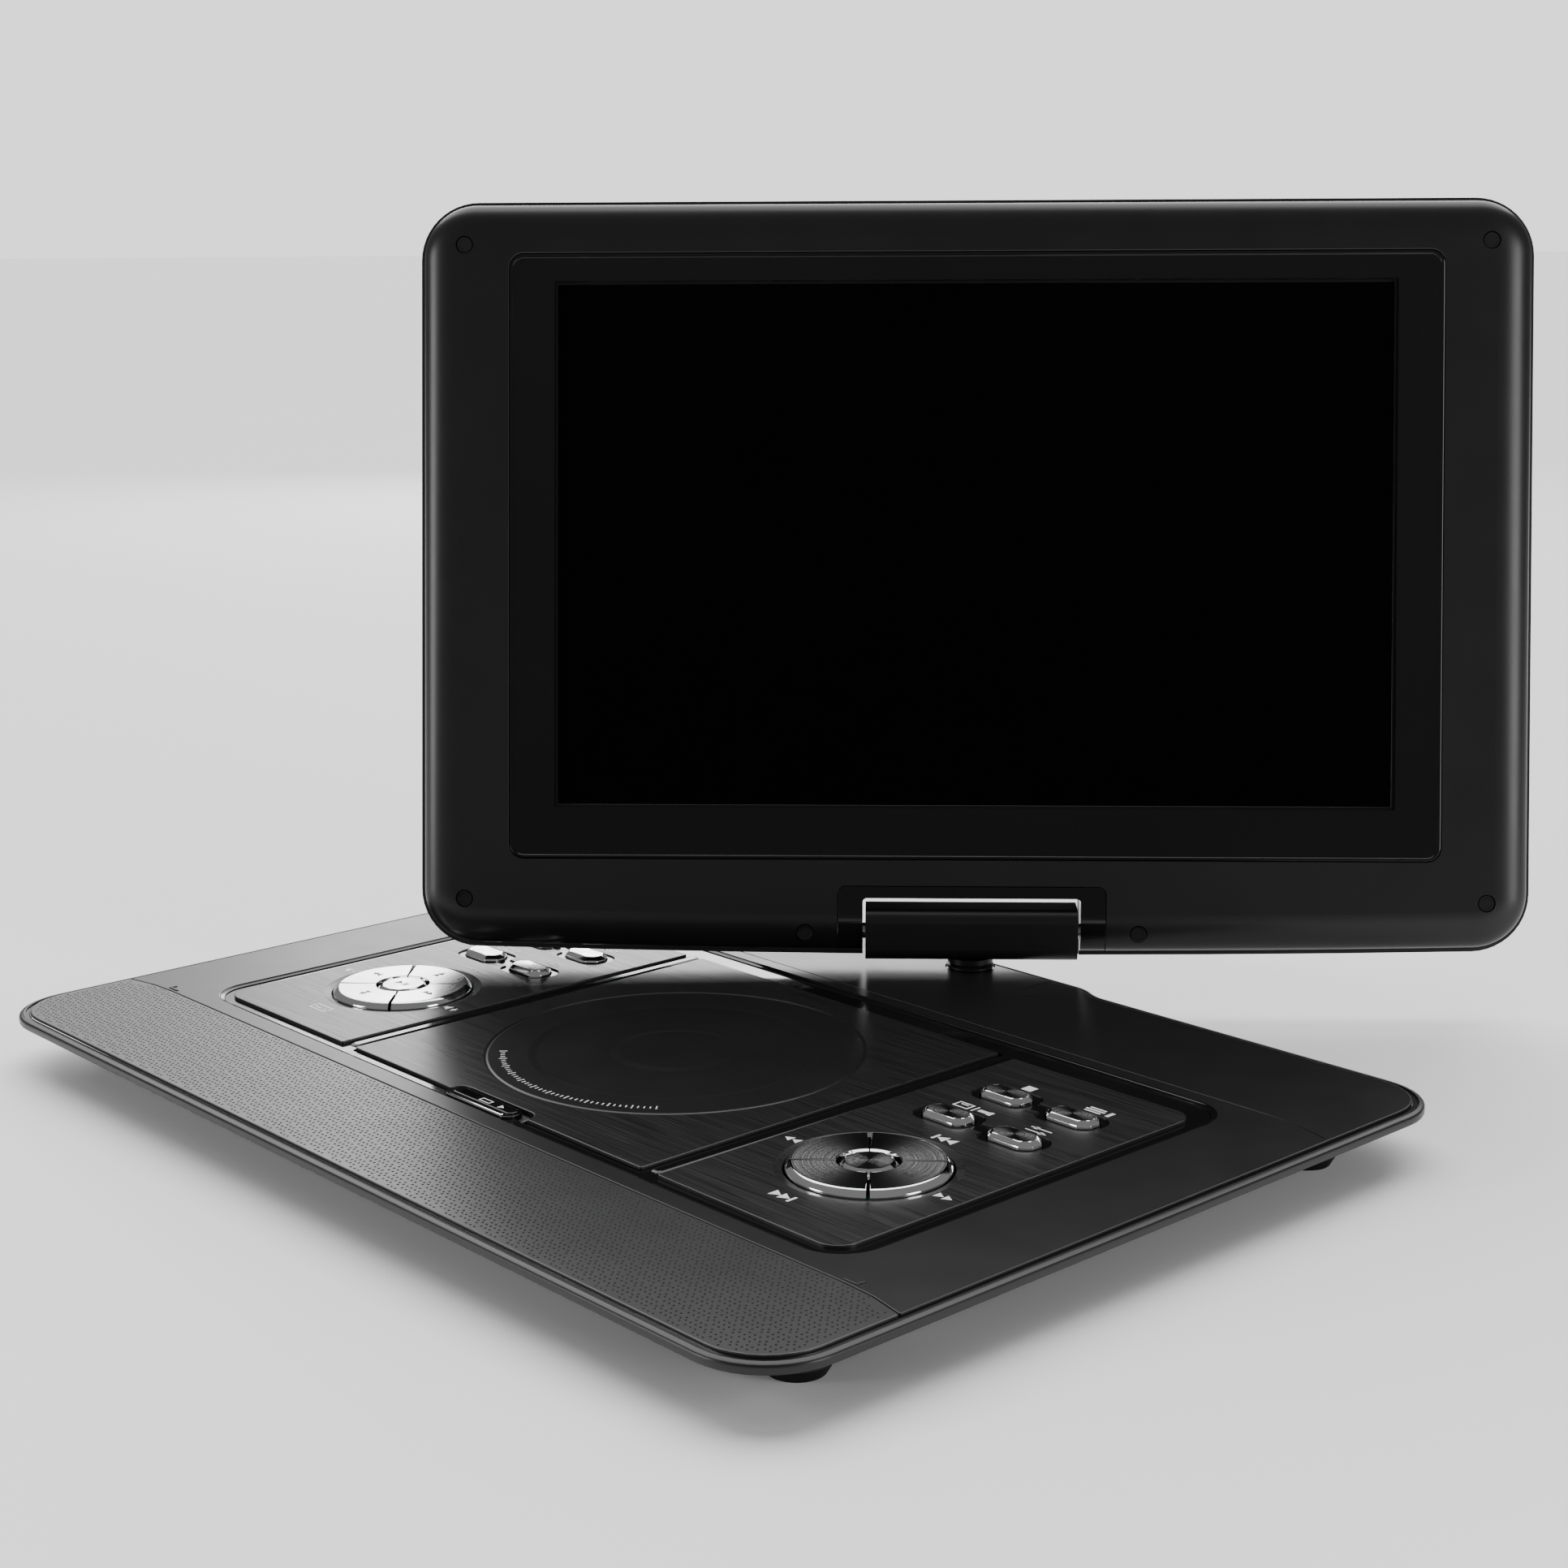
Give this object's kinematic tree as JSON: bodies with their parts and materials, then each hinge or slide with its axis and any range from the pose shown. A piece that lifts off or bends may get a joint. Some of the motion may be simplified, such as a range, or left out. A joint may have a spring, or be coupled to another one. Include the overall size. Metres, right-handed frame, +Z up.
{
  "type": "portable dvd player",
  "caption": "Portable disc player: flat base with hinged disc lid, side key panels and speaker strip, and a wide screen that swivels and tilts on a rear neck",
  "frame": {"origin": "centre of the base in plan, on the plane that the feet stand on", "axes": "+X to the user's right, -Y towards the user at the speaker strip, +Z up; the neck of the screen is at +Y"},
  "size_m": [0.4, 0.4626, 0.2917],
  "materials": {
    "deck_shell": "satin black deck with fine lengthwise brushing",
    "casing": "fine-textured black",
    "bezel": "satin black",
    "speaker_mesh": "black, close pattern of small holes",
    "rubber": "matt black",
    "steel": "plain",
    "panel_plate": "brushed black plate",
    "key_metal": "spun metal tops with bright bevels",
    "key_chrome": "bright turned finish",
    "tray_plastic": "moulded black",
    "circuit_board": "green solder mask",
    "battery_wrap": "grey film",
    "speaker_cone": "black paper cone in a black frame",
    "motor_metal": "drawn can",
    "jack_plastic": "black",
    "lid_plate": "brushed black plate with a turned ring",
    "latch_plastic": "black with a bright edge",
    "lens": "clear",
    "hinge_plastic": "fine matt black",
    "gloss_trim": "polished black",
    "display": "dark glass-like panel, switched off",
    "plug_rubber": "matt black"
  },
  "bodies": {
    "base": {"base_top_shell": "deck_shell", "base_bottom_cover": "casing", "speaker_grille": "speaker_mesh", "rubber_feet": "rubber", "base_screws": "steel", "control_panel_left": "panel_plate", "control_panel_right": "panel_plate", "loader_tray": "tray_plastic", "main_board": "circuit_board", "key_boards": "circuit_board", "battery_pack": "battery_wrap", "speaker_left": "speaker_cone", "speaker_right": "speaker_cone", "spindle_motor": "motor_metal", "guide_rods": "steel", "sled_motor": "motor_metal", "dc_jack": "jack_plastic", "audio_jacks": "jack_plastic", "usb_port": "steel", "card_slot": "steel", "swivel_bush": "tray_plastic"},
    "lid": {"disc_lid": "lid_plate", "lid_carrier": "tray_plastic", "latch_spring": "steel"},
    "latch": {"lid_latch": "latch_plastic"},
    "turntable": {"turntable": "latch_plastic"},
    "sled": {"laser_sled": "jack_plastic", "laser_lens": "lens"},
    "lead_screw": {"lead_screw": "steel"},
    "power_switch": {"power_switch": "jack_plastic"},
    "swivel_head": {"hinge_block": "hinge_plastic", "swivel_shaft": "steel", "neck_collar": "hinge_plastic", "tilt_pins": "steel"},
    "screen": {"screen_bezel": "bezel", "lcd_surround": "gloss_trim", "lcd_panel": "display", "screen_back_cover": "casing", "hinge_escutcheon": "gloss_trim", "screen_screw_plugs": "plug_rubber", "tilt_brackets": "steel", "driver_board": "circuit_board"},
    "pad_key_left_right": {"pad_key_left_right": "key_metal"},
    "pad_key_left_rear": {"pad_key_left_rear": "key_metal"},
    "pad_key_left_left": {"pad_key_left_left": "key_metal"},
    "pad_key_left_front": {"pad_key_left_front": "key_metal"},
    "centre_key_left": {"centre_key_left": "key_chrome"},
    "pill_key_left_inner_front": {"pill_key_left_inner_front": "key_metal"},
    "pill_key_left_inner_rear": {"pill_key_left_inner_rear": "key_metal"},
    "pill_key_left_outer_front": {"pill_key_left_outer_front": "key_metal"},
    "pill_key_left_outer_rear": {"pill_key_left_outer_rear": "key_metal"},
    "pad_key_right_right": {"pad_key_right_right": "key_metal"},
    "pad_key_right_rear": {"pad_key_right_rear": "key_metal"},
    "pad_key_right_left": {"pad_key_right_left": "key_metal"},
    "pad_key_right_front": {"pad_key_right_front": "key_metal"},
    "centre_key_right": {"centre_key_right": "key_chrome"},
    "pill_key_right_inner_front": {"pill_key_right_inner_front": "key_metal"},
    "pill_key_right_inner_rear": {"pill_key_right_inner_rear": "key_metal"},
    "pill_key_right_outer_front": {"pill_key_right_outer_front": "key_metal"},
    "pill_key_right_outer_rear": {"pill_key_right_outer_rear": "key_metal"}
  },
  "joints": [
    {"name": "screen_swivel", "type": "hinge", "parent": "base", "child": "swivel_head", "pos_m": [0, 0.1373, 0.0193], "axis": [0, 0, -1], "range_deg": [-134.5, 45.5]},
    {"name": "screen_tilt", "type": "hinge", "parent": "swivel_head", "child": "screen", "pos_m": [0, 0.1373, 0.0327], "axis": [-0.7009, -0.7133, 0], "range_deg": [-101.3, 78.7]},
    {"name": "lid_hinge", "type": "hinge", "parent": "base", "child": "lid", "pos_m": [0, 0.0712, 0.0159], "axis": [-1, 0, 0], "range_deg": [0, 22]},
    {"name": "latch_slide", "type": "slide", "parent": "lid", "child": "latch", "axis": [1, 0, 0], "range_m": [0, 0.0035], "stiffness_N_per_m": 150, "springref_m": -0.002},
    {"name": "turntable_spin", "type": "hinge", "parent": "base", "child": "turntable", "pos_m": [0, -0.002, 0.0125], "axis": [0, 0, 1], "continuous": true},
    {"name": "sled_travel", "type": "slide", "parent": "base", "child": "sled", "axis": [1, 0, 0], "range_m": [0, 0.03]},
    {"name": "lead_screw_turn", "type": "hinge", "parent": "base", "child": "lead_screw", "pos_m": [0.0435, 0.0195, 0.0086], "axis": [1, 0, 0], "range_deg": [0, 3600.5]},
    {"name": "power_switch_slide", "type": "slide", "parent": "base", "child": "power_switch", "axis": [0, 1, 0], "range_m": [0, 0.004]},
    {"name": "pad_key_left_right_press", "type": "slide", "parent": "base", "child": "pad_key_left_right", "axis": [0, 0, 1], "range_m": [-0.0006, 0], "stiffness_N_per_m": 300, "springref_m": 0.0006},
    {"name": "pad_key_left_rear_press", "type": "slide", "parent": "base", "child": "pad_key_left_rear", "axis": [0, 0, 1], "range_m": [-0.0006, 0], "stiffness_N_per_m": 300, "springref_m": 0.0006},
    {"name": "pad_key_left_left_press", "type": "slide", "parent": "base", "child": "pad_key_left_left", "axis": [0, 0, 1], "range_m": [-0.0006, 0], "stiffness_N_per_m": 300, "springref_m": 0.0006},
    {"name": "pad_key_left_front_press", "type": "slide", "parent": "base", "child": "pad_key_left_front", "axis": [0, 0, 1], "range_m": [-0.0006, 0], "stiffness_N_per_m": 300, "springref_m": 0.0006},
    {"name": "centre_key_left_press", "type": "slide", "parent": "base", "child": "centre_key_left", "axis": [0, 0, 1], "range_m": [-0.0006, 0], "stiffness_N_per_m": 300, "springref_m": 0.0006},
    {"name": "pill_key_left_inner_front_press", "type": "slide", "parent": "base", "child": "pill_key_left_inner_front", "axis": [0, 0, 1], "range_m": [-0.0006, 0], "stiffness_N_per_m": 300, "springref_m": 0.0006},
    {"name": "pill_key_left_inner_rear_press", "type": "slide", "parent": "base", "child": "pill_key_left_inner_rear", "axis": [0, 0, 1], "range_m": [-0.0006, 0], "stiffness_N_per_m": 300, "springref_m": 0.0006},
    {"name": "pill_key_left_outer_front_press", "type": "slide", "parent": "base", "child": "pill_key_left_outer_front", "axis": [0, 0, 1], "range_m": [-0.0006, 0], "stiffness_N_per_m": 300, "springref_m": 0.0006},
    {"name": "pill_key_left_outer_rear_press", "type": "slide", "parent": "base", "child": "pill_key_left_outer_rear", "axis": [0, 0, 1], "range_m": [-0.0006, 0], "stiffness_N_per_m": 300, "springref_m": 0.0006},
    {"name": "pad_key_right_right_press", "type": "slide", "parent": "base", "child": "pad_key_right_right", "axis": [0, 0, 1], "range_m": [-0.0006, 0], "stiffness_N_per_m": 300, "springref_m": 0.0006},
    {"name": "pad_key_right_rear_press", "type": "slide", "parent": "base", "child": "pad_key_right_rear", "axis": [0, 0, 1], "range_m": [-0.0006, 0], "stiffness_N_per_m": 300, "springref_m": 0.0006},
    {"name": "pad_key_right_left_press", "type": "slide", "parent": "base", "child": "pad_key_right_left", "axis": [0, 0, 1], "range_m": [-0.0006, 0], "stiffness_N_per_m": 300, "springref_m": 0.0006},
    {"name": "pad_key_right_front_press", "type": "slide", "parent": "base", "child": "pad_key_right_front", "axis": [0, 0, 1], "range_m": [-0.0006, 0], "stiffness_N_per_m": 300, "springref_m": 0.0006},
    {"name": "centre_key_right_press", "type": "slide", "parent": "base", "child": "centre_key_right", "axis": [0, 0, 1], "range_m": [-0.0006, 0], "stiffness_N_per_m": 300, "springref_m": 0.0006},
    {"name": "pill_key_right_inner_front_press", "type": "slide", "parent": "base", "child": "pill_key_right_inner_front", "axis": [0, 0, 1], "range_m": [-0.0006, 0], "stiffness_N_per_m": 300, "springref_m": 0.0006},
    {"name": "pill_key_right_inner_rear_press", "type": "slide", "parent": "base", "child": "pill_key_right_inner_rear", "axis": [0, 0, 1], "range_m": [-0.0006, 0], "stiffness_N_per_m": 300, "springref_m": 0.0006},
    {"name": "pill_key_right_outer_front_press", "type": "slide", "parent": "base", "child": "pill_key_right_outer_front", "axis": [0, 0, 1], "range_m": [-0.0006, 0], "stiffness_N_per_m": 300, "springref_m": 0.0006},
    {"name": "pill_key_right_outer_rear_press", "type": "slide", "parent": "base", "child": "pill_key_right_outer_rear", "axis": [0, 0, 1], "range_m": [-0.0006, 0], "stiffness_N_per_m": 300, "springref_m": 0.0006}
  ],
  "couplings": [
    {"joint": "lead_screw_turn", "follows": "sled_travel", "rad_per_m": 2094.4}
  ]
}
